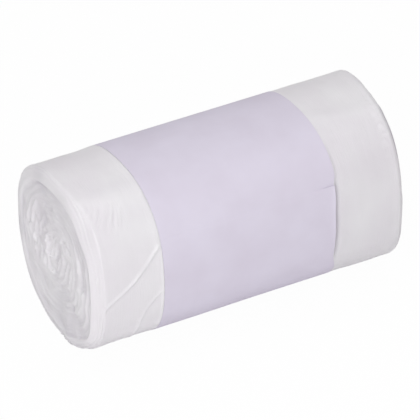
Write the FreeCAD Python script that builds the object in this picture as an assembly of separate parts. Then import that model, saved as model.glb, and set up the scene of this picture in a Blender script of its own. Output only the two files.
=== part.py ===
"""Roll of bin bags with a paper band, lying on its side. Millimetres.

The bags are one long strip of thin film, folded to STRIP_WIDTH and wound into a coreless roll along X.
The roll is soft: its section has four rounded corners, its underside is pressed flat, and its turns show as
a spiral in each end. A paper band, glued to itself at a lap, holds the loose end of the strip.
The origin is on the ground, under the middle of the roll. Angles round the roll are in degrees, from +Y
towards +Z: 0 is the back, 90 the top, 180 the front and 270 the ground.
"""

import FreeCAD
import Part

import math
import os

from FreeCAD import Vector

# The roll
STRIP_WIDTH = 125.0  # the folded strip, which is the roll's length along its axis
ROLL_RADIUS = 33.0  # mean radius over the outermost ply
CORNER_SWELL = 0.0275  # the four soft corners, as a share of the radius
CORNER_ANGLE = 40.0
LEAN_SWELL = 0.014  # the roll's slight three-sided lean
LEAN_ANGLE = 20.0
FLAT_SPOT_DEPTH = 0.5  # how far the roll's own weight presses its underside flat
RIM_BEVEL = 1.9  # the folded edges of the outer turns soften the rim of each end
RIM_EASING = 0.7
RIGHT_END_SLANT = 0.10  # the turns lean out at the back of the right end, in mm for each mm of depth

# The turns in each end: the outer ones stand as a ring, and inside it single bundles stand out as ridges
# along the spiral. Over the front of the top they lie too close together to show.
RING_WIDTH = 4.0
RING_HEIGHT = 1.2
PITCH = 2.95  # from one turn's ridge to the next
RIDGE_WIDTH = 1.5
RIDGE_HEIGHT = 0.8
RIDGE_UNEVENNESS = 0.5
RIDGE_TIP = 0.3  # the ridge's width at its ends, as a share
FIRST_RADIUS = 4.6  # of the innermost ridge
CORE_SQUASH = 0.26  # the innermost turns are squashed to an oval
CORE_SQUASH_ANGLE = 118.0
SMOOTH_FROM = 70.0  # the sector where no ridge shows
SMOOTH_TO = 160.0
SECTOR_UNEVENNESS = 28.0
HOLLOW_RADIUS = 1.5  # the small squashed hollow at the core
HOLLOW_DEPTH = 6.0

# The outermost plies, which stop short of both ends and show the folded loose end of the strip. Each fold
# is given by two points: place from the left end, and height over the axis.
OUTER_PLY = 0.35
SECOND_PLY = 0.2
LEFT_PLY_INSET = 3.6
RIGHT_PLY_INSET = 3.4
FOLD_TOP = (26.2, 15.6)
FOLD_FOOT = (5.0, -2.4)
LOWER_FOLD_TOP = (25.5, -2.3)
LOWER_FOLD_FOOT = (16.6, -17.5)
FOLD_UNDER_BAND = 6.0  # how far the folded end reaches under the band

# The paper band
BAND_WIDTH = 69.0
BAND_FROM_LEFT = 26.3  # the bare film to the left of the band
PAPER = 0.14
BAND_SLACK = 0.15  # between the film and the paper
LAP_ANGLE = 148.5  # the edge of the band's outer end, which lies below it over the inner end
LAP_LENGTH = 15.0
LAP_RAMP = 14.0  # the angle over which the paper comes down behind the lap

NODE_STEP = 45.0  # between the points that the round outlines run through
FAR = 500.0  # larger than the part, for cutting tools


def bulge(angle):
    """How far the roll's section stands out at an angle, as a factor on its radius."""
    corner = CORNER_SWELL * math.cos(4 * math.radians(angle - CORNER_ANGLE))
    lean = LEAN_SWELL * math.cos(3 * math.radians(angle - LEAN_ANGLE))
    return 1 + corner + lean


# Places that follow from the sizes above. The model is built round the roll's axis and lifted at the end.
SLANT_REACH = RIGHT_END_SLANT * ROLL_RADIUS * bulge(0)
LEFT_END = -(STRIP_WIDTH + SLANT_REACH) / 2
RIGHT_END = LEFT_END + STRIP_WIDTH  # at the axis
INNER_RADIUS = ROLL_RADIUS - RING_WIDTH
FILM_BOTTOM = -(ROLL_RADIUS * bulge(270) - FLAT_SPOT_DEPTH)
AXIS_HEIGHT = BAND_SLACK + PAPER - FILM_BOTTOM
BAND_LEFT = LEFT_END + BAND_FROM_LEFT
BAND_RIGHT = BAND_LEFT + BAND_WIDTH


def at_angle(angle, radius):
    a = math.radians(angle)
    return Vector(0, radius * math.cos(a), radius * math.sin(a))


def arc_from(start, heading, stop):
    """The arc that leaves a point with the given heading and ends at another point."""
    side = Vector(1, 0, 0).cross(heading)
    chord = stop - start
    reach = chord.dot(chord) / (2 * chord.dot(side))
    centre = start + side * reach
    middle = (start + stop) * 0.5 - centre
    middle.normalize()
    return Part.Arc(start, centre + middle * abs(reach), stop).toShape()


def two_arcs(start, heading, stop, last_heading):
    """Two arcs that meet smoothly and follow the given headings at both ends."""
    chord = stop - start
    both = heading + last_heading
    spread = 2 * (1 - heading.dot(last_heading))
    along = chord.dot(both)
    reach = (math.sqrt(along**2 + spread * chord.dot(chord)) - along) / spread
    near = start + heading * reach
    far = stop - last_heading * reach
    meeting = (near + far) * 0.5
    turn = far - near
    turn.normalize()
    return [arc_from(start, heading, meeting), arc_from(meeting, turn, stop)]


def smooth_line(place, angles):
    """Arcs through the places at the given angles, along the curve that place describes."""
    headings = []
    for angle in angles:
        heading = place(angle + 0.01) - place(angle - 0.01)
        headings.append(heading.normalize())
    edges = []
    for i in range(len(angles) - 1):
        edges += two_arcs(place(angles[i]), headings[i], place(angles[i + 1]), headings[i + 1])
    return edges


def rounds(start, count):
    return [start + NODE_STEP * i for i in range(count + 1)]


def roll_prism(x_from, x_to, radius):
    nodes = rounds(CORNER_ANGLE, round(360 / NODE_STEP))
    outline = Part.Wire(smooth_line(lambda angle: at_angle(angle, radius * bulge(angle)), nodes))
    face = Part.Face(outline)
    face.translate(Vector(x_from, 0, 0))
    return face.extrude(Vector(x_to - x_from, 0, 0))


def half_space(point, normal):
    """A large block that fills the side of a plane to which the normal points."""
    block = Part.makeBox(FAR, FAR, FAR, Vector(-FAR / 2, -FAR / 2, 0))
    block.Placement = FreeCAD.Placement(point, FreeCAD.Rotation(Vector(0, 0, 1), normal))
    return block


def beyond_right_end(depth):
    """All that lies outside a plane that is parallel to the slanting right end, depth inside it."""
    return half_space(Vector(RIGHT_END - depth, 0, 0), Vector(1, -RIGHT_END_SLANT, 0))


def end_floors():
    """What lies outside the floor inside each end's ring."""
    left = roll_prism(LEFT_END - 1, LEFT_END + RING_HEIGHT, INNER_RADIUS)
    right = roll_prism(0, RIGHT_END + 2 * SLANT_REACH, INNER_RADIUS)
    return [left, right.common(beyond_right_end(RING_HEIGHT))]


def turn_factor(angle, radius):
    """The section's shape inside the roll: squashed at the core, and the roll's own at the ring."""
    share = min(radius / INNER_RADIUS, 1.0)
    squash = CORE_SQUASH * (1 - share) ** 1.5 * math.cos(2 * math.radians(angle - CORE_SQUASH_ANGLE))
    return 1 + share**2 * (bulge(angle) - 1) + squash


def ridge_edge(nodes, side):
    """The inner or outer edge of a ridge that follows the spiral and narrows towards its ends."""

    def place(angle):
        radius = FIRST_RADIUS + PITCH * angle / 360.0
        inward = min(angle - nodes[0], nodes[-1] - angle) / (nodes[1] - nodes[0])
        width = RIDGE_TIP + (1 - RIDGE_TIP) * math.sin(math.pi / 2 * min(max(inward, 0.0), 1.0))
        return at_angle(angle, (radius + side * width * RIDGE_WIDTH / 2) * turn_factor(angle, radius))

    return smooth_line(place, nodes)


def ridge_face(nodes):
    inner = ridge_edge(nodes, -1)
    outer = ridge_edge(nodes, 1)
    first = Part.makeLine(inner[0].firstVertex().Point, outer[0].firstVertex().Point)
    last = Part.makeLine(inner[-1].lastVertex().Point, outer[-1].lastVertex().Point)
    return Part.Face(Part.Wire(inner + [last] + outer[::-1] + [first]))


def ridges():
    """Each turn's ridge, as the nodes it runs through and its height over the floor."""
    found = []
    for turn in range(int((INNER_RADIUS - FIRST_RADIUS - RIDGE_WIDTH) / PITCH)):
        start = 360.0 * turn + SMOOTH_TO + SECTOR_UNEVENNESS * math.sin(2.3 * turn)
        stop = 360.0 * (turn + 1) + SMOOTH_FROM + SECTOR_UNEVENNESS * math.sin(1.7 * turn + 1)
        count = round((stop - start) / NODE_STEP)
        nodes = [start + (stop - start) * i / count for i in range(count + 1)]
        found.append((nodes, RIDGE_HEIGHT + RIDGE_UNEVENNESS * math.sin(2.4 * turn)))
    return found


def end_ridges():
    """The ridges of both ends, each with its foot sunk in the roll."""
    pieces = []
    for nodes, height in ridges():
        face = ridge_face(nodes)
        top = LEFT_END + RING_HEIGHT - height
        pieces.append(face.translated(Vector(top, 0, 0)).extrude(Vector(height + 1, 0, 0)))
        foot = RIGHT_END - RING_HEIGHT - SLANT_REACH - 1
        right = face.translated(Vector(foot, 0, 0)).extrude(Vector(2 * SLANT_REACH + 2, 0, 0))
        pieces.append(right.cut(beyond_right_end(RING_HEIGHT - height)))
    return pieces


def core_hollow():
    """The squashed hollow that shows at the middle of the left end."""

    def place(angle):
        squash = 2 * CORE_SQUASH * math.cos(2 * math.radians(angle - CORE_SQUASH_ANGLE))
        return at_angle(angle, HOLLOW_RADIUS * (1 + squash))

    face = Part.Face(Part.Wire(smooth_line(place, rounds(CORE_SQUASH_ANGLE, 8))))
    face.translate(Vector(LEFT_END, 0, 0))
    return face.extrude(Vector(RING_HEIGHT + HOLLOW_DEPTH, 0, 0))


def bevelled_rims(body):
    """Bevels both ends all round, then eases the outer edge of each bevel."""
    eased = body.makeChamfer(RIM_BEVEL, rim_edges(body, 0.2, 0))
    return eased.makeChamfer(RIM_EASING, rim_edges(eased, 1.5 * RIM_BEVEL, RIM_BEVEL / 2))


def rim_edges(body, reach, inset):
    """The outline edges that lie between an inset and a reach from the left or the right end."""
    edges = []
    for edge in body.Edges:
        middle = edge.valueAt((edge.FirstParameter + edge.LastParameter) / 2)
        from_left = middle.x - LEFT_END
        from_right = RIGHT_END + RIGHT_END_SLANT * middle.y - middle.x
        if edge.BoundBox.XLength < SLANT_REACH and inset <= min(from_left, from_right) + 0.01 <= reach:
            edges.append(edge)
    return edges


def fold_window(depth, top, foot):
    """What the plies leave bare below a fold, on the front of the roll to the left of the band."""
    left = LEFT_END + LEFT_PLY_INSET
    right = BAND_LEFT + FOLD_UNDER_BAND
    ring = roll_prism(left, right, ROLL_RADIUS + 1).cut(roll_prism(left, right, ROLL_RADIUS - depth))
    downward = Vector(top[1] - foot[1], 0, foot[0] - top[0])
    below = half_space(Vector(LEFT_END + top[0], 0, top[1]), downward)
    front = half_space(Vector(0, 0, 0), Vector(0, -1, 0))
    return ring.common(below).common(front)


def bag_strip_roll():
    turns = roll_prism(LEFT_END, RIGHT_END + 2 * SLANT_REACH, ROLL_RADIUS - OUTER_PLY)
    turns = bevelled_rims(turns.cut(beyond_right_end(0)))
    ply = roll_prism(LEFT_END + LEFT_PLY_INSET, RIGHT_END + SLANT_REACH, ROLL_RADIUS)
    ply = ply.cut(beyond_right_end(RIGHT_PLY_INSET))
    roll = turns.fuse(ply).cut(end_floors() + [core_hollow()])
    roll = roll.cut(fold_window(OUTER_PLY, FOLD_TOP, FOLD_FOOT))
    roll = roll.cut(fold_window(OUTER_PLY + SECOND_PLY, LOWER_FOLD_TOP, LOWER_FOLD_FOOT))
    roll = roll.fuse(end_ridges())
    return roll.cut(half_space(Vector(0, 0, FILM_BOTTOM), Vector(0, 0, -1)))


def band_prism(radius, lap_lift):
    """A prism as long as the band is wide. Its outline steps out by lap_lift at the lap."""
    lap = math.degrees(LAP_LENGTH / ROLL_RADIUS)

    def place(angle):
        behind = min(max((angle - LAP_ANGLE - lap) / LAP_RAMP, 0.0), 1.0)
        lift = lap_lift * (1 + math.cos(math.pi * behind)) / 2
        return at_angle(angle, (radius + lift) * bulge(angle))

    lap_nodes = [LAP_ANGLE, LAP_ANGLE + lap / 2, LAP_ANGLE + lap, LAP_ANGLE + lap + LAP_RAMP]
    around = rounds(CORNER_ANGLE + 4 * NODE_STEP, 6)
    outline = smooth_line(place, lap_nodes + around + [LAP_ANGLE + 360])
    if lap_lift:
        outline.append(Part.makeLine(outline[-1].lastVertex().Point, outline[0].firstVertex().Point))
    face = Part.Face(Part.Wire(outline))
    face.translate(Vector(BAND_LEFT, 0, 0))
    return face.extrude(Vector(BAND_WIDTH, 0, 0))


def above(height):
    return half_space(Vector(0, 0, height), Vector(0, 0, 1))


def paper_band():
    inner_radius = ROLL_RADIUS + BAND_SLACK
    inside = band_prism(inner_radius, 0).common(above(FILM_BOTTOM - BAND_SLACK))
    outside = band_prism(inner_radius + PAPER, PAPER).common(above(FILM_BOTTOM - BAND_SLACK - PAPER))
    return outside.cut(inside)


def write(name, shape):
    shape.translate(Vector(0, 0, AXIS_HEIGHT))
    shape.exportStep(os.path.join("parts", name + ".step"))


os.makedirs("parts", exist_ok=True)
write("bag_strip_roll", bag_strip_roll())
write("paper_band", paper_band())
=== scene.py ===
"""Roll of white bin bags with a lilac paper band, lying on its side.

Sizes in this file are in millimetres until a mesh is filled, which turns them to metres. Only the studio's
lights and camera are given in metres. Angles round the roll are in degrees, from the back (+Y) towards the
top (+Z): 90 is the top, 180 the front and 270 the ground. Places along the roll are measured from its left
end.
"""

import math

import bpy
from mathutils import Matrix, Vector, noise


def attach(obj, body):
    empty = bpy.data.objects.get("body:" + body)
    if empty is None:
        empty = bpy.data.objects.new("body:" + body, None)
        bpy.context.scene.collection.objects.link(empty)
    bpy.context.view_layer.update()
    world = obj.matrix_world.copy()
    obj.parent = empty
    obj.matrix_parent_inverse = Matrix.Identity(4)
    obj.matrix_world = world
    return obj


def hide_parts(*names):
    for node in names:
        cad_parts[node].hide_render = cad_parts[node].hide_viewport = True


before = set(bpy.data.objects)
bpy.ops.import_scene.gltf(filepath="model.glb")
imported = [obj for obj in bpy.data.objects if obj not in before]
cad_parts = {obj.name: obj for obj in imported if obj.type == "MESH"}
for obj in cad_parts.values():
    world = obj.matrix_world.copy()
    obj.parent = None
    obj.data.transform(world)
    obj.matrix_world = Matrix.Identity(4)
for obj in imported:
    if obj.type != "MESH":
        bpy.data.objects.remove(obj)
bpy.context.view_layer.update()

MM = 0.001

# The roll, as in the part's source
STRIP_WIDTH = 125.0
ROLL_RADIUS = 33.0
CORNER_SWELL = 0.0275  # the section's four soft corners, as a share of the radius
CORNER_ANGLE = 40.0
LEAN_SWELL = 0.014  # its slight three-sided lean
LEAN_ANGLE = 20.0
OVAL_SWELL = -0.006  # and a trace of an oval, which only this file has
CORE_SQUASH = 0.26  # the innermost turns are squashed to an oval
CORE_SQUASH_ANGLE = 118.0
RIGHT_END_SLANT = 0.10
LEFT_END = -64.13
AXIS_HEIGHT = 32.34
FILM_REST = 0.29  # height of the film's flat spot, which lies on the paper
FILM_EASING = 1.2  # how gently the film's section turns into its flat spot
PAPER_EASING = 1.0  # and the paper's into its own

# The paper band
BAND_LEFT = 26.45
BAND_RIGHT = 95.85
PAPER = 0.11
PAPER_GAP = 0.03  # between the film and the paper
LAP_ANGLE = 147.8  # the edge of the outer end
LAP_ARC = 26.0  # how far round the roll the outer end lies over the inner one
BAND_COLUMNS = 520
BAND_ROWS = 92

# The rims, where the side turns into an end
RIM_WIDTH = 4.15
LEFT_RIM_REACH = 2.7  # how far each rim reaches along the roll
FRONT_RIM_REACH = 4.0  # of the left rim, over the front
RIGHT_RIM_REACH = 3.1
FACE_RADIUS = ROLL_RADIUS - RIM_WIDTH
FACE_RECESS = 0.75  # of the turns inside the rim
FULL_SECTION_RADIUS = 29.0  # where the turns have taken the roll's own section
FIRST_RADIUS = 3.4  # of the innermost turn that shows
TURN_PITCH = 2.6  # between bundles of turns
FINE_PITCH = 1.05  # between the single turns that show

# The folded edges of the outer turns on each rim: how deep each lies, its half width and its height
RIM_EDGES = [(0.8, 0.22, 0.2), (1.7, 0.22, 0.32), (2.6, 0.25, 0.28), (3.6, 0.3, 0.14), (4.9, 0.5, 0.08)]

# The folds of the strip's loose end: places from the left end, and angles
UPPER_FOLD = [
    (29.0, 148.0), (25.5, 152.0), (22.5, 157.0), (18.8, 164.0), (14.8, 170.5), (10.0, 176.5), (6.0, 181.0),
    (3.9, 184.0), (3.3, 188.0), (3.2, 197.0), (3.6, 216.0), (4.0, 262.0),
]
LOWER_FOLD = [
    (29.0, 180.0), (25.6, 184.0), (22.4, 189.5), (19.6, 196.0), (18.2, 203.0), (17.7, 212.0), (17.0, 262.0),
]

# The soft edge between the film's flat top and its front: its angle by each end and by the band
LEFT_CORNER = (111.0, 123.0)
RIGHT_CORNER = (108.0, 102.0)

# Swells and dents of the bare film, and places painted whiter or greyer as painted light and shade. Each is
# given by its angle, its half width in degrees, the places along the roll where it is nothing and where it
# is full, and how high or how white it is
LEFT_SWELLS = [(222.0, 14.0, 14.0, 4.0, 0.3), (62.0, 32.0, 26.0, 19.0, -0.25)]
LEFT_PAINTED_SHADING = [(125.0, 13.0, 8.0, 20.0, -0.1), (107.0, 6.0, 4.0, 12.0, -0.13), (214.0, 7.0, 4.0, 9.0, 0.85)]
RIGHT_PAINTED_SHADING = [(190.0, 18.0, 92.0, 93.0, -0.08), (210.0, 12.0, 117.0, 123.0, -0.18)]
# Painted light: the film is painted whiter over the top and the back
TOP_PAINTED_LIGHT = 0.35

# Crests that stand out of the left end and creases that lie back in it, each from one radius and angle to
# another, with height and half width
CRESTS = [
    ((21.6, 44.0), (17.5, -8.0), 1.0, 0.95),
    ((23.6, 24.0), (21.6, -4.0), 0.7, 0.8),
    ((15.4, -10.0), (20.2, -38.0), 0.8, 0.9),
    ((18.3, 148.0), (17.5, 202.0), 1.2, 1.0),
    ((21.2, 184.0), (20.2, 226.0), 1.0, 0.8),
    ((24.4, 152.0), (23.6, 206.0), 0.3, 0.8),
    ((21.6, 148.0), (20.6, 184.0), -0.5, 0.8),
    ((10.4, 34.0), (5.5, -20.0), 1.1, 1.3),
    ((11.5, -28.0), (6.5, -72.0), 0.8, 1.1),
    ((12.4, 158.0), (11.6, 226.0), 0.5, 0.8),
    ((10.2, 112.0), (12.2, 142.0), -0.8, 0.6),
]

# Gaps between the turns there: place across (y, z), depth and size
GAPS = [
    ((-12.5, -14.5), 0.7, 1.2),
    ((-17.6, -22.6), 0.8, 1.0),
    ((9.5, 12.5), 0.3, 1.6),
    ((11.4, -4.2), 0.4, 1.2),
    ((-1.0, 3.2), 0.4, 1.5),
]

# Broad patches of that end, painted whiter or greyer as painted light and shade. Each has its place across
# (y, z), its half width and half height, and how much whiter it is
PAINTED_SHADING_PATCHES = [
    ((-8.0, 8.0), (7.0, 7.0), 0.17),
    ((5.0, 2.5), (4.5, 5.0), 0.55),
    ((-6.5, 8.5), (2.6, 1.3), -0.3),
    ((12.0, 0.0), (3.5, 6.0), 0.18),
    ((-12.0, -6.0), (4.0, 5.0), 0.12),
    ((9.0, -11.0), (5.0, 4.0), 0.14),
    ((28.0, 3.0), (7.0, 15.0), -0.3),
    ((14.0, 28.0), (9.0, 6.0), -0.58),
    ((25.0, -4.0), (3.5, 5.0), -0.25),
    ((4.0, -24.0), (15.0, 6.0), -0.17),
    ((22.0, -20.0), (6.0, 6.0), -0.18),
    ((2.0, -30.0), (12.0, 4.0), -0.16),
    ((-10.0, -19.0), (7.0, 6.0), -0.08),
    ((-13.0, -30.0), (7.0, 3.5), -0.3),
]

# The skin's mesh: its columns round the roll, which lie closer together over the front, and its rows
COLUMNS = 340
COLUMN_CROWDING = 0.38
CROWDED_ANGLE = 185.0
LEFT_END_ROWS = 92
LEFT_RIM_ROWS = 24
RIGHT_RIM_ROWS = 14
RIGHT_END_ROWS = 41
LEFT_ROW = 0.4  # from row to row on the left film
HIDDEN_ROW = 6.0  # under the band
EDGE_ROW = 0.25  # by the band's right edge
RIGHT_ROW = 0.75  # on the right film


def linear(hex_colour):
    """An sRGB hex colour as the linear values that a node takes, with full alpha."""
    values = []
    for i in (1, 3, 5):
        v = int(hex_colour[i : i + 2], 16) / 255
        values.append(v / 12.92 if v <= 0.04045 else ((v + 0.055) / 1.055) ** 2.4)
    return (*values, 1.0)


def clamp(value, low=0.0, high=1.0):
    return max(low, min(high, value))


def smooth(low, high, value):
    """0 up to low, 1 from high on, and a soft step between them. With low above high the step falls."""
    t = clamp((value - low) / (high - low))
    return t * t * (3 - 2 * t)


def hump(value, centre, width):
    """A soft hump that is 1 at its centre."""
    return math.exp(-(((value - centre) / width) ** 2))


def bulge(angle):
    """How far the roll's section stands out at an angle, as a factor on its radius."""
    a = math.radians(angle)
    oval = OVAL_SWELL * math.cos(2 * a)
    corners = CORNER_SWELL * math.cos(4 * (a - math.radians(CORNER_ANGLE)))
    lean = LEAN_SWELL * math.cos(3 * (a - math.radians(LEAN_ANGLE)))
    return 1 + oval + corners + lean


def uneven(x, y, z, seed=0.0):
    """Smooth noise between about -1 and 1."""
    return noise.noise(Vector((x + 17.3 * seed, y - 9.1 * seed, z + 5.7 * seed)))


def round_noise(along, angle, step_along, step_round, seed=0.0):
    """Noise over the roll's side that closes on itself round the roll. Steps are in millimetres."""
    a = math.radians(angle)
    reach = ROLL_RADIUS / step_round
    return uneven(along / step_along, reach * math.cos(a), reach * math.sin(a), seed)


def line_at(points, along):
    """The angle of a fold at a place along the roll; its points run from right to left."""
    for (x1, a1), (x0, a0) in zip(points, points[1:]):
        if x0 <= along <= x1:
            return a0 + (a1 - a0) * (along - x0) / max(x1 - x0, 1e-6)
    return points[0][1] if along > points[0][0] else 400.0


def off_fold(points, along, angle):
    """The distance from a fold over the roll's surface, and how far along the fold the nearest point is."""
    arc = math.radians(1) * ROLL_RADIUS
    best = (1e9, 0.0)
    walked = 0.0
    for (x0, a0), (x1, a1) in zip(points, points[1:]):
        dx, da = x1 - x0, (a1 - a0) * arc
        length = math.hypot(dx, da)
        t = clamp(((along - x0) * dx + (angle - a0) * arc * da) / length**2)
        gap = math.hypot(along - x0 - t * dx, (angle - a0) * arc - t * da)
        if gap < best[0]:
            best = (gap, walked + t * length)
        walked += length
    return best


def fold_relief(points, along, angle, drop, ridge):
    """Film that lies a little lower below a fold, and the rounded ridge of the folded edge. The second
    value is how far the film whitens there, partly as doubled film and partly as painted highlight."""
    if not (0 < along < 34 and 120 < angle < 300):
        return 0.0, 0.0
    gap, walked = off_fold(points, along, angle)
    below = along > points[-1][0] - 3 and angle > line_at(points, along)
    side = gap if below else -gap
    fade = smooth(34, 30, along) * smooth(300, 262, angle)
    edge = math.exp(-(((side + 0.4) / 0.65) ** 2)) * (0.75 + 0.6 * uneven(walked / 6, 0.3, points[0][0]))
    # The ridge dies out where the fold turns to run round the roll
    edge *= smooth(40, 28, walked)
    fall = drop * smooth(-0.5, 0.7, side) * (0.4 + 0.6 * smooth(216, 182, angle))
    return fade * (ridge * edge - fall), fade * edge


def soft_places(places, along, angle):
    """The sum of swells, or of painted light and shade, of the bare film at one place."""
    amount = 0.0
    for centre, half_width, nothing, full, much in places:
        amount += much * hump(angle, centre, half_width) * smooth(nothing, full, along)
    return amount


def rim_stripes(depth, angle):
    """The folded edges of the outer turns, which show as fine steps round the rim."""
    shift = 0.5 * round_noise(0, angle, 5, 14, 3.0)
    amount = 0.0
    for centre, width, height in RIM_EDGES:
        here = 0.6 + 0.9 * round_noise(centre * 3, angle, 6, 11, 4.0)
        amount += height * clamp(here, 0.15, 1.2) * hump(depth, centre + shift, width)
    return amount * (1 - 0.6 * hump(angle % 360, 92, 26) - 0.25 * hump(angle % 360, 140, 20))


def slanting_wrinkles(along, angle, corner):
    """Fine wrinkles that run slantwise over the left film, just in front of its soft edge."""
    where = hump(angle, corner + 9, 7) * smooth(3, 7, along) * smooth(19, 12, along)
    slanted = along + 0.3 * angle
    wave = math.sin(2 * math.pi * slanted / 1.7 + 6 * uneven(angle / 9, along / 5, 0.0))
    wave *= 0.6 + 1.2 * uneven(slanted / 2.3, angle / 14, 4.0)
    return 0.2 * where * (wave + 0.5 * math.sin(2 * math.pi * slanted / 3.1 + 1.0))


def left_film(along, angle):
    """The bare film to the left of the band: its relief, and how far its colour is painted whiter or
    greyer.
    """
    height = 0.16 * round_noise(along, angle, 9, 16, 1.0) + 0.06 * round_noise(along, angle, 3, 9, 2.0)
    stripes = rim_stripes(along, angle)
    upper, upper_white = fold_relief(UPPER_FOLD, along, angle, 0.3, 0.65)
    lower, lower_white = fold_relief(LOWER_FOLD, along, angle, 0.2, 0.26)
    height += stripes + upper + lower
    # Small ruffles at the rim's foot, under the pinched corner
    foot = smooth(236, 244, angle) * smooth(275, 262, angle) * smooth(5.0, 2.0, along)
    height += 0.6 * foot * round_noise(along, angle, 2.2, 1.5, 8.0)
    height += soft_places(LEFT_SWELLS, along, angle)
    corner = LEFT_CORNER[0] + (LEFT_CORNER[1] - LEFT_CORNER[0]) * along / BAND_LEFT
    height += 0.24 * hump(angle, corner, 7) + slanting_wrinkles(along, angle, corner)
    # Painted light: over the front, the rim's inner half is painted whiter
    rim_painted_light = 0.45 * smooth(3.4, 1.0, along) * smooth(100, 118, angle) * smooth(232, 215, angle)
    # The folds and the rim's folded edges are whiter, partly as doubled film and partly as painted
    # highlight
    white = clamp(0.9 * upper_white + 0.6 * lower_white + 1.2 * stripes + rim_painted_light)
    # Painted light and shade at the listed places, and painted light over the top
    white += soft_places(LEFT_PAINTED_SHADING, along, angle) + TOP_PAINTED_LIGHT * smooth(100, 88, angle)
    return height, white


def right_film(along, angle):
    """The bare film to the right of the band, up to the right end, in the same two values as left_film."""
    height = 0.16 * round_noise(along, angle, 10, 15, 6.0) + 0.05 * round_noise(along, angle, 3, 10, 7.0)
    depth = STRIP_WIDTH - along
    stripes = 0.8 * rim_stripes(depth, angle + 140)
    height += stripes
    corner = RIGHT_CORNER[1] + (RIGHT_CORNER[0] - RIGHT_CORNER[1]) * clamp((along - 98) / 23)
    height += 0.2 * hump(angle, corner, 6)
    # Small uneven ruffles beside the rim, over the front of the top
    ruffle = hump(angle, 118, 22) * hump(depth, 4.0, 1.8)
    ruffle *= clamp(0.55 + 1.3 * uneven(angle / 6, along / 3, 4.0))
    wave = math.sin(2 * math.pi * angle / 5.3 + 6 * uneven(along / 2.5, angle / 8, 0))
    height += 0.18 * ruffle * wave
    # The outermost ply stands a little off the next one, and the gap between them is painted darker as
    # painted shade
    gap = hump(depth, 0.5 + 0.6 * hump(angle, 122, 18), 0.38)
    gap *= smooth(76, 90, angle) * smooth(176, 160, angle) * (0.95 + 0.6 * uneven(angle / 9, 2.0, 5.0))
    # Painted highlight on the stripes, partly doubled film, and on the ruffles; painted shade over the
    # front
    white = clamp(1.2 * stripes + ruffle * (0.15 + 0.25 * wave)) - 0.06 * smooth(96, 110, angle)
    # Painted light and shade at the listed places, and painted light over the top
    white += soft_places(RIGHT_PAINTED_SHADING, along, angle) + TOP_PAINTED_LIGHT * smooth(100, 88, angle)
    return height - 0.3 * gap, white - 0.9 * gap


def band_right_edge(angle):
    """The paper's right edge, which draws back where the outer end's side stands off."""
    wander = 0.1 * math.sin(math.radians(2 * angle - 40))
    drawn_back = 1.35 * smooth(140, 149, angle) + 0.8 * smooth(150, 168, angle)
    return BAND_RIGHT + wander - drawn_back * smooth(218, 198, angle)


def sag(along, angle):
    """The roll's front is a little hollow beyond a slant that starts at the lap's right-hand corner."""
    beyond = 0.63 * (along - BAND_RIGHT) + 0.45 * (angle % 360 - LAP_ANGLE)
    return -0.2 * smooth(0, 20, beyond) * smooth(262, 225, angle % 360) * smooth(116, 98, along)


def side_relief(along, angle):
    """How far the film's surface lies off the plain section on the roll's side, and its painted light and
    shade.
    """
    angle = angle % 360
    if along < BAND_LEFT:
        height, white = left_film(along, angle)
        # The film swells along the paper's edge, up to the paper's face
        inward = BAND_LEFT - along
        return height * smooth(0, 1.2, inward) + (PAPER + 0.03) * smooth(3.0, 0.4, inward), white
    edge = band_right_edge(angle)
    if along < edge - 0.5:
        return -0.03, 0.0
    height, white = right_film(along, angle)
    # Where the paper's edge stands off, the film under it has drawn back to a narrow groove, with painted
    # shade
    groove = (0.15 * smooth(120, 132, angle) + 0.38 * smooth(143, 150, angle)) * smooth(206, 195, angle)
    dip = groove * hump(along, edge + 0.85, 0.5 if along < edge + 0.85 else 0.9)
    return height * smooth(edge - 0.5, edge + 2.5, along) - dip, white - dip


def turn_factor(angle, radius):
    """The section inside the roll: squashed at the core, and the roll's own at the rim."""
    share = min(radius / FULL_SECTION_RADIUS, 1.0)
    squash = CORE_SQUASH * (1 - share) ** 1.5 * math.cos(2 * math.radians(angle - CORE_SQUASH_ANGLE))
    return 1 + share**2 * (bulge(angle) - 1) + squash


def crest(phase):
    """The outline of a turn's edge over one pitch: a sharp ridge between two slopes."""
    return (1 - abs(2 * (phase % 1.0) - 1)) ** 1.4


def along_crest(ends, radius, angle):
    """How near a point of an end lies to a crest: its distance, and the share of the crest's length."""
    (r0, a0), (r1, a1) = ends
    turned = (angle - a0 + 180) % 360 - 180 if a1 > a0 else (a0 - angle + 180) % 360 - 180
    share = turned / abs(a1 - a0)
    return radius - (r0 + (r1 - r0) * clamp(share)), share


def placed_crests(radius, angle, y, z):
    """The crests and gaps of the left end that the picture shows one by one."""
    height = 0.0
    for start, end, rise, width in CRESTS:
        off, share = along_crest((start, end), radius, angle)
        if -0.2 < share < 1.2 and abs(off) < 4 * width:
            fade = smooth(-0.12, 0.12, share) * smooth(1.12, 0.88, share)
            wave = 0.7 * uneven(share * 4, start[0], 0.0, 11.0)
            rise *= 0.8 + 0.5 * uneven(share * 7, start[0], 3.0, 12.0)
            height += rise * fade * math.exp(-abs(off - wave) / width)
    for (gy, gz), depth, size in GAPS:
        height -= depth * hump(math.hypot(y - gy, z - gz), 0, size)
    return height


def painted_patch_shading(y, z):
    """How much whiter the left end's broad patches of painted light and shade make a place across it."""
    white = 0.0
    for (centre_y, centre_z), (half_width, half_height), much in PAINTED_SHADING_PATCHES:
        white += much * hump(math.hypot((y - centre_y) / half_width, (z - centre_z) / half_height), 0, 1)
    return white


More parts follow.
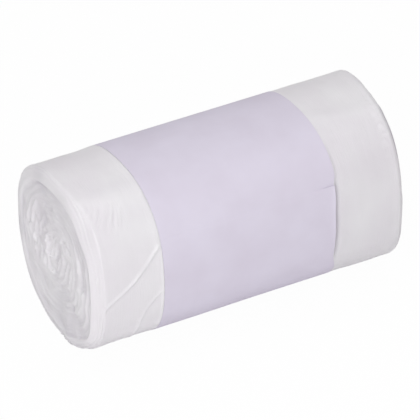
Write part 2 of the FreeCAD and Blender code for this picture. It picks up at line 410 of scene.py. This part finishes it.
def end_relief(radius, angle, left):
    """How far the edges of the turns stand out of an end, towards the outside."""
    seed = 0.0 if left else 20.0
    a = math.radians(angle)
    y, z = radius * math.cos(a), radius * math.sin(a)
    # The turns are pushed out of true by up to two millimetres, and keep their order best over the front
    orderly = smooth(-4, -13, y) * smooth(-19, -9, z)
    push = 1.5 - 1.0 * orderly
    wy = y + push * uneven(y / 8, z / 8, 0.0, seed) + 0.3 * push * uneven(y / 2.6, z / 2.6, 0.0, seed + 1)
    wz = z + push * uneven(y / 8, z / 8, 5.0, seed) + 0.3 * push * uneven(y / 2.6, z / 2.6, 5.0, seed + 1)
    reach, bearing = math.hypot(wy, wz), math.degrees(math.atan2(wz, wy)) % 360
    b = math.radians(bearing)
    loose = 1 - 0.8 * hump((angle - 100 + 180) % 360 - 180, 0, 44) - 0.5 * hump(angle, 275, 34)
    turn = (reach - FIRST_RADIUS) / TURN_PITCH - bearing / 360
    wound = math.floor(turn) + bearing / 360
    amount = 0.5 + 1.0 * uneven(wound * 0.73, math.cos(b) * 1.3, math.sin(b) * 1.3, seed + 2)
    amount = clamp(max(amount, 0.4 * orderly), 0.05, 1.1)
    height = 0.75 * loose * amount * crest(turn)
    fine = (reach - FIRST_RADIUS) / FINE_PITCH - 3 * bearing / 360
    wound = math.floor(fine) + 3 * bearing / 360
    finer = clamp(0.35 + 1.1 * uneven(wound * 0.61, math.cos(b) * 3, math.sin(b) * 3, seed + 3), 0, 1.1)
    height += 0.2 * (0.3 + 0.7 * loose) * (1 - 0.6 * orderly) * finer * crest(fine)
    # Crumpled film between and over the turns, most of all round the core
    inner = 0.2 + 0.8 * hump(math.hypot(y - 5, z - 1), 0, 12)
    height += 0.7 * inner * (0.3 - abs(uneven(wy / 4.2, wz / 4.2, 0.0, seed + 4)) * 1.4)
    height += 0.1 * uneven(wy / 1.4, wz / 1.4, 0.0, seed + 5) * inner
    height += 0.45 * uneven(y / 7, z / 7, 0.0, seed + 6)
    if left:
        height += placed_crests(radius, angle, y, z)
    # The middle stands out furthest, and the turns inside the rim lie deepest
    back = hump((angle + 200) % 360 - 180, 0, 85)
    height -= (FACE_RECESS + 0.35 * smooth(7, 22, radius)) * (1 - 0.65 * back * smooth(14, 24, radius))
    hollow = math.hypot(y * 0.8 + z * 0.45, (z * 0.8 - y * 0.45) / 1.7)
    height -= 0.6 * smooth(1.8, 0.4, hollow + 0.4 * uneven(y / 1.2, z / 1.2, 0.0, seed + 8))
    gentle = 1.6 * smooth(95, 115, angle) * smooth(222, 205, angle) + 1.5 * smooth(243, 262, angle)
    brink = FACE_RADIUS - 1.0 - gentle + 0.4 * uneven(2 * math.cos(a), 2 * math.sin(a), 0.0, seed + 7)
    return height * smooth(FACE_RADIUS - 0.1, brink, radius)


def rim_point(share, angle, face, left):
    """A point of a rim's section, from the end's face to the side: its depth from the end, its radius and
    the tilt of its outward direction from the roll's axis."""
    t = math.pi / 2 * share
    width = ROLL_RADIUS - face
    depth = (LEFT_RIM_REACH if left else RIGHT_RIM_REACH) * (1 - math.cos(t))
    radius = face + width * math.sin(t)
    # Over the front of the left end the outer turns' edges make a wide bevel with a sharp inner edge
    front = smooth(100, 125, angle) * smooth(262, 232, angle) if left else 0.0
    depth += front * (FRONT_RIM_REACH * share - depth)
    radius += front * (face + width * (1 - (1 - share) ** 1.35) - radius)
    return depth, radius, t + front * (math.radians(52) + math.radians(38) * share - t)


def face_offset(angle):
    """Where the left end's rim is wider or narrower than elsewhere."""
    return 1.4 * hump(angle, 214, 14) - 1.4 * hump(angle, 133, 10)


def right_end_shift(angle):
    """The right end stands out a little at the foot."""
    return 0.8 * hump(angle, 222, 26) - 0.25 * hump(angle, 105, 40)


def left_end_shift(angle, along, reach):
    """The left rim ends in a pinched corner where it meets the ground at the front."""
    pinch = 1.3 * hump(angle, 249, 8) + 0.4 * hump(angle, 232, 12)
    return -pinch * smooth(12, 0, along) * smooth(16, 29, reach)


def profile():
    """Half the roll's outline, from the left end's middle to the right end's: pairs of zone and value. The
    value is a share on the ends and rims, and a place along the roll on its side."""
    stations = [("left end", i / LEFT_END_ROWS) for i in range(LEFT_END_ROWS)]
    stations += [("left rim", i / LEFT_RIM_ROWS) for i in range(LEFT_RIM_ROWS + 1)]
    along = FRONT_RIM_REACH + LEFT_ROW
    while along < BAND_LEFT - 0.3:
        stations.append(("side", along))
        along += LEFT_ROW
    stations += [("side", BAND_LEFT - 0.15), ("side", BAND_LEFT + 0.1)]
    stations += [("side", BAND_LEFT + HIDDEN_ROW * i) for i in range(1, 11)]
    along = BAND_RIGHT - 2.0
    while along < STRIP_WIDTH - RIGHT_RIM_REACH:
        stations.append(("side", along))
        along += EDGE_ROW if along < BAND_RIGHT + 1.4 else RIGHT_ROW
    stations += [("right rim", 1 - i / RIGHT_RIM_ROWS) for i in range(RIGHT_RIM_ROWS + 1)]
    stations += [("right end", i / RIGHT_END_ROWS) for i in range(RIGHT_END_ROWS - 1, -1, -1)]
    return stations


def column_angle(share):
    """Angles of the mesh's columns, which lie closer together over the front."""
    around = 2 * math.pi * share
    return math.degrees(around - COLUMN_CROWDING * math.sin(around - math.radians(CROWDED_ANGLE)))


def rested(height, rest, easing):
    """A height over the ground, which eases into the flat spot instead of passing below it."""
    if height < rest + easing:
        return rest + easing * math.exp((height - rest - easing) / easing)
    return height


def film_point(station, angle):
    """One point of the roll's skin in the part's frame, and its shade, which paints light and shade into
    the film's colour: painted shade below 0, in a gap or hollow, and whiter film above 0, at a fold or
    crest, partly as painted highlight."""
    zone, value = station
    angle = angle % 360
    left = zone.startswith("left")
    face = FACE_RADIUS + (face_offset(angle) if left else 0.0)
    if zone == "side":
        along = value
        relief, shade = side_relief(along, angle)
        reach = ROLL_RADIUS * bulge(angle) + sag(along, angle) + relief
    elif zone.endswith("end"):
        radius = max(face * value, 0.001)
        out = end_relief(radius - (face - FACE_RADIUS) * value, angle, left)
        # Painted shade: the end is painted darker, most of all in its hollows, and painted highlight
        # whitens its crests
        shade = clamp((out + FACE_RECESS) / 2.2 - 0.12, -0.7, 0.3)
        if left:
            # Painted light whitens a ring just inside the front of the rim
            shade += 0.2 * smooth(23.5, 27, radius) * smooth(100, 120, angle) * smooth(222, 202, angle)
        along = -out if left else STRIP_WIDTH + out
        reach = radius * turn_factor(angle, radius)
    else:
        depth, radius, tilt = rim_point(value, angle, face, left)
        along = depth if left else STRIP_WIDTH - depth
        relief, shade = side_relief(along, angle)
        relief *= smooth(0, 0.2, value)
        along += (-1 if left else 1) * math.cos(tilt) * relief
        reach = radius * bulge(angle) + math.sin(tilt) * relief
    a = math.radians(angle)
    y, z = reach * math.cos(a), reach * math.sin(a)
    if left:
        shade += painted_patch_shading(y, z)
        along += left_end_shift(angle, along, reach)
    along += RIGHT_END_SLANT * y * smooth(99, STRIP_WIDTH - 1, along)
    along += right_end_shift(angle) * smooth(100, STRIP_WIDTH, along) * smooth(0, 25, reach)
    return along + LEFT_END, y, rested(AXIS_HEIGHT + z, FILM_REST, FILM_EASING), shade


def sheet_of(name, across, along):
    """A flat grid primitive of that many faces each way, with its mesh."""
    bpy.ops.object.select_all(action="DESELECT")
    bpy.ops.mesh.primitive_grid_add(x_subdivisions=across, y_subdivisions=along, size=1)
    sheet = bpy.context.object
    sheet.name = name
    sheet.data.name = name
    return sheet


def wind(sheet, place):
    """Moves every point of a grid primitive: place takes its column and row as shares from 0 to 1. Gives
    back these shares."""
    shares = []
    for vertex in sheet.data.vertices:
        u, v = vertex.co.x + 0.5, vertex.co.y + 0.5
        shares.append((u, v))
        vertex.co = Vector(place(u, v)[:3]) * MM
    return shares


def point_attribute(piece, name, values):
    """Keeps a value for each point of a mesh, so that materials can follow the winding and paint light
    and shade at the folds and gaps.
    """
    layer = piece.data.attributes.new(name, "FLOAT_VECTOR", "POINT")
    for i, value in enumerate(values):
        layer.data[i].vector = value


def wound_film():
    """The strip of bags: one closed skin over the roll's side, its rims and the edges of its turns."""
    stations = profile()
    rows = len(stations) - 1
    angles = [column_angle(i / COLUMNS) for i in range(COLUMNS + 1)]
    points = [[film_point(station, angle) for angle in angles] for station in stations]
    film = sheet_of("wound_film", COLUMNS, rows)
    shares = wind(film, lambda u, v: points[round(v * rows)][round(u * COLUMNS)])
    travelled = [0.0]
    line = [film_point(station, 180.0)[:3] for station in stations]
    for a, b in zip(line, line[1:]):
        travelled.append(travelled[-1] + math.dist(a, b))
    places, shades = [], []
    for u, v in shares:
        row, column = round(v * rows), round(u * COLUMNS)
        a = math.radians(angles[column])
        places.append((travelled[row], math.cos(a), math.sin(a)))
        shades.append((points[row][column][3], 0.0, 0.0))
    point_attribute(film, "winding", places)
    # The shade attribute paints light and shade into the film's colour
    point_attribute(film, "shade", shades)
    bpy.ops.object.mode_set(mode="EDIT")
    bpy.ops.mesh.select_all(action="SELECT")
    bpy.ops.mesh.remove_doubles(threshold=0.000004)
    bpy.ops.mesh.normals_make_consistent(inside=False)
    bpy.ops.object.mode_set(mode="OBJECT")
    bpy.ops.object.shade_smooth()
    return film


def paper_reach(turned, angle, along):
    """How far the paper's inner face stands off the film's plain section."""
    from_right = max(band_right_edge(angle) - along, 0.0)
    # The outer end's edge is pressed flat, except near its right-hand corner
    pressed = 0.8 * math.exp(-turned / 1.2) * smooth(4.5, 8, from_right)
    under = (PAPER + 0.02) * (1 - pressed)
    reach = PAPER_GAP + under * smooth(LAP_ARC + 14, LAP_ARC, turned)
    # That corner and the edge below it curl away from the roll
    curl = 0.35 * math.exp(-from_right / 1.0) + 0.08 * math.exp(-from_right / 4.0)
    curl *= smooth(52, 30, turned)
    corner = 0.35 * math.exp(-turned / 2.0) * smooth(6.0, 1.0, from_right)
    # Over the front of the top the paper lies a little loose
    soft = 0.05 * (1 + round_noise(along, angle, 16, 22, 9.0))
    soft *= smooth(205, 190, angle) * smooth(60, 80, angle)
    if turned < 180:
        return reach + curl + corner + soft
    return reach + soft


def paper_band():
    """One strip of paper round the roll, whose outer end lies glued over its inner end."""
    total = 360 + LAP_ARC

    def place(u, v):
        turned = total * u
        angle = (LAP_ANGLE + turned) % 360
        along = BAND_LEFT + 0.03 + (band_right_edge(angle) - BAND_LEFT) * (1 - (1 - v) ** 1.3)
        a = math.radians(angle)
        reach = ROLL_RADIUS * bulge(angle) + sag(along, angle)
        reach += paper_reach(turned, angle, along) + PAPER / 2
        y, z = reach * math.cos(a), reach * math.sin(a)
        return along + LEFT_END, y, rested(AXIS_HEIGHT + z, PAPER / 2 + 0.01, PAPER_EASING)

    band = sheet_of("paper_wrap", BAND_COLUMNS, BAND_ROWS)
    shares = wind(band, place)
    width = BAND_RIGHT - BAND_LEFT
    values = [(BAND_LEFT + width * v, math.radians(total * u) * ROLL_RADIUS, 0.0) for u, v in shares]
    point_attribute(band, "winding", values)
    bpy.ops.object.mode_set(mode="EDIT")
    bpy.ops.mesh.select_all(action="SELECT")
    bpy.ops.mesh.normals_make_consistent(inside=False)
    bpy.ops.object.mode_set(mode="OBJECT")
    bpy.ops.object.shade_smooth()
    thick = band.modifiers.new("paper thickness", "SOLIDIFY")
    thick.thickness = PAPER * MM
    thick.offset = 0.0
    thick.material_offset_rim = 1
    bpy.ops.object.modifier_apply(modifier=thick.name)
    bpy.ops.object.shade_smooth_by_angle(angle=math.radians(35))
    return band


def node(tree, kind, settings=None, inputs=None):
    """Adds a node with its settings, its values and the links into it."""
    made = tree.nodes.new(kind)
    for name, value in (settings or {}).items():
        setattr(made, name, value)
    for name, value in (inputs or {}).items():
        if isinstance(value, bpy.types.NodeSocket):
            tree.links.new(value, made.inputs[name])
        else:
            made.inputs[name].default_value = value
    return made


def new_material(name):
    material = bpy.data.materials.new(name)
    material.use_nodes = True
    material.node_tree.nodes.clear()
    return material, material.node_tree


def ramp(tree, factor, stops):
    made = node(tree, "ShaderNodeValToRGB", inputs={"Fac": factor})
    elements = made.color_ramp.elements
    elements[0].position, elements[0].color = stops[0]
    elements[1].position, elements[1].color = stops[-1]
    for position, colour in stops[1:-1]:
        elements.new(position).color = colour
    return made.outputs["Color"]


def scale_for(size):
    """The scale of a pattern on Object coordinates whose features are that many millimetres across."""
    return 1 / (size * MM)


def blown_film_material():
    """High-density polyethylene film, blown thin and left milky: many plies read as soft white."""
    material, tree = new_material("blown polyethylene film")
    place = node(tree, "ShaderNodeAttribute", {"attribute_name": "winding"}).outputs["Vector"]
    # Fine lines that follow the turns: about 0.4 mm across and long round the roll
    lines_at = node(tree, "ShaderNodeMapping", inputs={"Vector": place, "Scale": (2.4, 5.0, 5.0)})
    lines = node(tree, "ShaderNodeTexNoise", inputs={
        "Vector": lines_at.outputs["Vector"],
        "Scale": 1.0,
        "Detail": 3.0,
    })
    # Soft wrinkles 6 mm across, and a tint that drifts over 22 mm
    soft_at = node(tree, "ShaderNodeTexCoord").outputs["Object"]
    soft = node(tree, "ShaderNodeTexNoise", inputs={
        "Vector": soft_at,
        "Scale": scale_for(6.25),
        "Detail": 4.0,
        "Roughness": 0.55,
    })
    tint = node(tree, "ShaderNodeTexNoise", inputs={
        "Vector": soft_at,
        "Scale": scale_for(22.22),
        "Detail": 2.0,
    })
    plain = ramp(tree, tint.outputs["Fac"], [(0.3, linear("#E6E2E7")), (0.7, linear("#ECEAED"))])
    # Painted shade darkens gaps and hollows; folds are whiter, as doubled film and as painted highlight
    shade = node(tree, "ShaderNodeAttribute", {"attribute_name": "shade"}).outputs["Vector"]
    shade = node(tree, "ShaderNodeSeparateXYZ", inputs={"Vector": shade}).outputs["X"]
    shade = node(tree, "ShaderNodeMapRange", inputs={"Value": shade, "From Min": -1.0}).outputs["Result"]
    whitest = (1.08, 1.08, 1.08, 1.0)
    painted_light_and_shade = ramp(tree, shade, [(0.0, linear("#D2CFD6")), (0.5, linear("#FFFFFF")), (1.0, whitest)])
    # The node's sockets 6 and 7 are its two colours, and its output 2 is the mixed colour
    multiply = {"data_type": "RGBA", "blend_type": "MULTIPLY"}
    mixed = node(tree, "ShaderNodeMix", multiply, {"Factor": 1.0, 6: plain, 7: painted_light_and_shade})
    coarse = node(tree, "ShaderNodeBump", inputs={
        "Height": soft.outputs["Fac"],
        "Strength": 0.25,
        "Distance": 0.4 * MM,
    })
    fine = node(tree, "ShaderNodeBump", inputs={
        "Height": lines.outputs["Fac"],
        "Strength": 0.3,
        "Distance": 0.2 * MM,
        "Normal": coarse.outputs["Normal"],
    })
    shine = node(tree, "ShaderNodeMapRange", inputs={
        "Value": soft.outputs["Fac"],
        "To Min": 0.34,
        "To Max": 0.5,
    })
    shader = node(tree, "ShaderNodeBsdfPrincipled", inputs={
        "Base Color": mixed.outputs[2],
        "Roughness": shine.outputs["Result"],
        "IOR": 1.54,
        "Subsurface Weight": 0.35,
        "Subsurface Radius": (1.0, 0.95, 1.0),
        "Subsurface Scale": 1.2 * MM,
        "Normal": fine.outputs["Normal"],
    })
    node(tree, "ShaderNodeOutputMaterial", inputs={"Surface": shader.outputs["BSDF"]})
    return material


def band_paper_material():
    """Uncoated paper dyed pale lilac: matt, with a soft mottle 14 mm across and fibres 0.7 mm long."""
    material, tree = new_material("dyed uncoated paper")
    where = node(tree, "ShaderNodeTexCoord").outputs["Object"]
    mottle = node(tree, "ShaderNodeTexNoise", inputs={
        "Vector": where,
        "Scale": scale_for(14.29),
        "Detail": 3.0,
    })
    fibres_at = node(tree, "ShaderNodeMapping", inputs={"Vector": where, "Scale": (1.0, 2.6, 2.6)})
    fibres = node(tree, "ShaderNodeTexNoise", inputs={
        "Vector": fibres_at.outputs["Vector"],
        "Scale": scale_for(0.6667),
        "Detail": 3.0,
    })
    colour = ramp(tree, mottle.outputs["Fac"], [(0.3, linear("#DAD3E2")), (0.7, linear("#DFD9E8"))])
    bump = node(tree, "ShaderNodeBump", inputs={
        "Height": fibres.outputs["Fac"],
        "Strength": 0.25,
        "Distance": 0.05 * MM,
    })
    shader = node(tree, "ShaderNodeBsdfPrincipled", inputs={
        "Base Color": colour,
        "Roughness": 0.82,
        "Specular IOR Level": 0.35,
        "Normal": bump.outputs["Normal"],
    })
    node(tree, "ShaderNodeOutputMaterial", inputs={"Surface": shader.outputs["BSDF"]})
    return material


def cut_edge_material():
    """The paper's cut edge, where the torn fibres look whiter."""
    material, tree = new_material("cut paper edge")
    where = node(tree, "ShaderNodeTexCoord").outputs["Object"]
    fibres = node(tree, "ShaderNodeTexNoise", inputs={
        "Vector": where,
        "Scale": scale_for(0.4),
        "Detail": 2.0,
    })
    colour = ramp(tree, fibres.outputs["Fac"], [(0.35, linear("#E4DFEA")), (0.65, linear("#F2EFF5"))])
    shader = node(tree, "ShaderNodeBsdfPrincipled", inputs={"Base Color": colour, "Roughness": 0.9})
    node(tree, "ShaderNodeOutputMaterial", inputs={"Surface": shader.outputs["BSDF"]})
    return material


def backdrop_material():
    """A white sweep that keeps part of the roll's shadow."""
    material, tree = new_material("white backdrop")
    seen = node(tree, "ShaderNodeLightPath")
    matt = node(tree, "ShaderNodeBsdfDiffuse", inputs={"Color": linear("#F4F4F4")})
    white = node(tree, "ShaderNodeEmission", inputs={"Color": (1, 1, 1, 1), "Strength": 1.0})
    camera_ray = seen.outputs["Is Camera Ray"]
    share = node(tree, "ShaderNodeMath", {"operation": "MULTIPLY"}, {0: camera_ray, 1: 0.97})
    both = node(tree, "ShaderNodeMixShader", inputs={
        "Fac": share.outputs["Value"],
        1: matt.outputs["BSDF"],
        2: white.outputs["Emission"],
    })
    node(tree, "ShaderNodeOutputMaterial", inputs={"Surface": both.outputs["Shader"]})
    return material


def studio():
    """The floor, the lights and the camera, in metres."""
    bpy.ops.object.select_all(action="DESELECT")
    bpy.ops.mesh.primitive_plane_add(size=6, location=(0, 0, 0))
    floor = bpy.context.object
    floor.name = "floor"
    floor.data.materials.append(backdrop_material())

    world = bpy.data.worlds.new("soft room")
    bpy.context.scene.world = world
    world.use_nodes = True
    tree = world.node_tree
    tree.nodes.clear()
    sky = node(tree, "ShaderNodeBackground", inputs={"Color": (1, 1, 1, 1), "Strength": 0.42})
    node(tree, "ShaderNodeOutputWorld", inputs={"Surface": sky.outputs["Background"]})

    def lamp(name, place, size, power):
        light = bpy.data.lights.new(name, "AREA")
        light.shape = "SQUARE"
        light.size = size
        light.energy = power
        holder = bpy.data.objects.new(name, light)
        bpy.context.collection.objects.link(holder)
        holder.location = place
        holder.rotation_euler = Vector(place).to_track_quat("Z", "Y").to_euler()
        return holder

    lamp("key softbox", (-0.37, -0.53, 0.47), 0.5, 2.75)
    lamp("top softbox", (0.1, 0.25, 1.1), 1.0, 4.05)

    # The view that fits the photograph's outline: a long lens from the left, front and above
    azimuth, elevation = math.radians(-27.68), math.radians(36.86)
    distance, focal = 1.752, 426.2
    level = math.cos(elevation)
    back = Vector((math.sin(azimuth) * level, -math.cos(azimuth) * level, math.sin(elevation)))
    right = Vector((math.cos(azimuth), math.sin(azimuth), 0))
    up = back.cross(right)
    # The picture's centre lies a little to the left of the roll's middle and below it
    aim = Vector((-0.00163, 0, AXIS_HEIGHT * MM)) - right * 0.00153 - up * 0.00044
    camera = bpy.data.cameras.new("camera")
    camera.lens = focal
    camera.sensor_width = 36
    camera.clip_end = 20
    holder = bpy.data.objects.new("camera", camera)
    bpy.context.collection.objects.link(holder)
    holder.location = aim + back * distance
    holder.rotation_euler = back.to_track_quat("Z", "Y").to_euler()
    bpy.context.scene.camera = holder
    bpy.context.scene.view_settings.view_transform = "Standard"


film = wound_film()
film.data.materials.append(blown_film_material())
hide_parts("bag_strip_roll")
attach(film, "root")

band = paper_band()
band.data.materials.append(band_paper_material())
band.data.materials.append(cut_edge_material())
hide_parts("paper_band")
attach(band, "root")

studio()
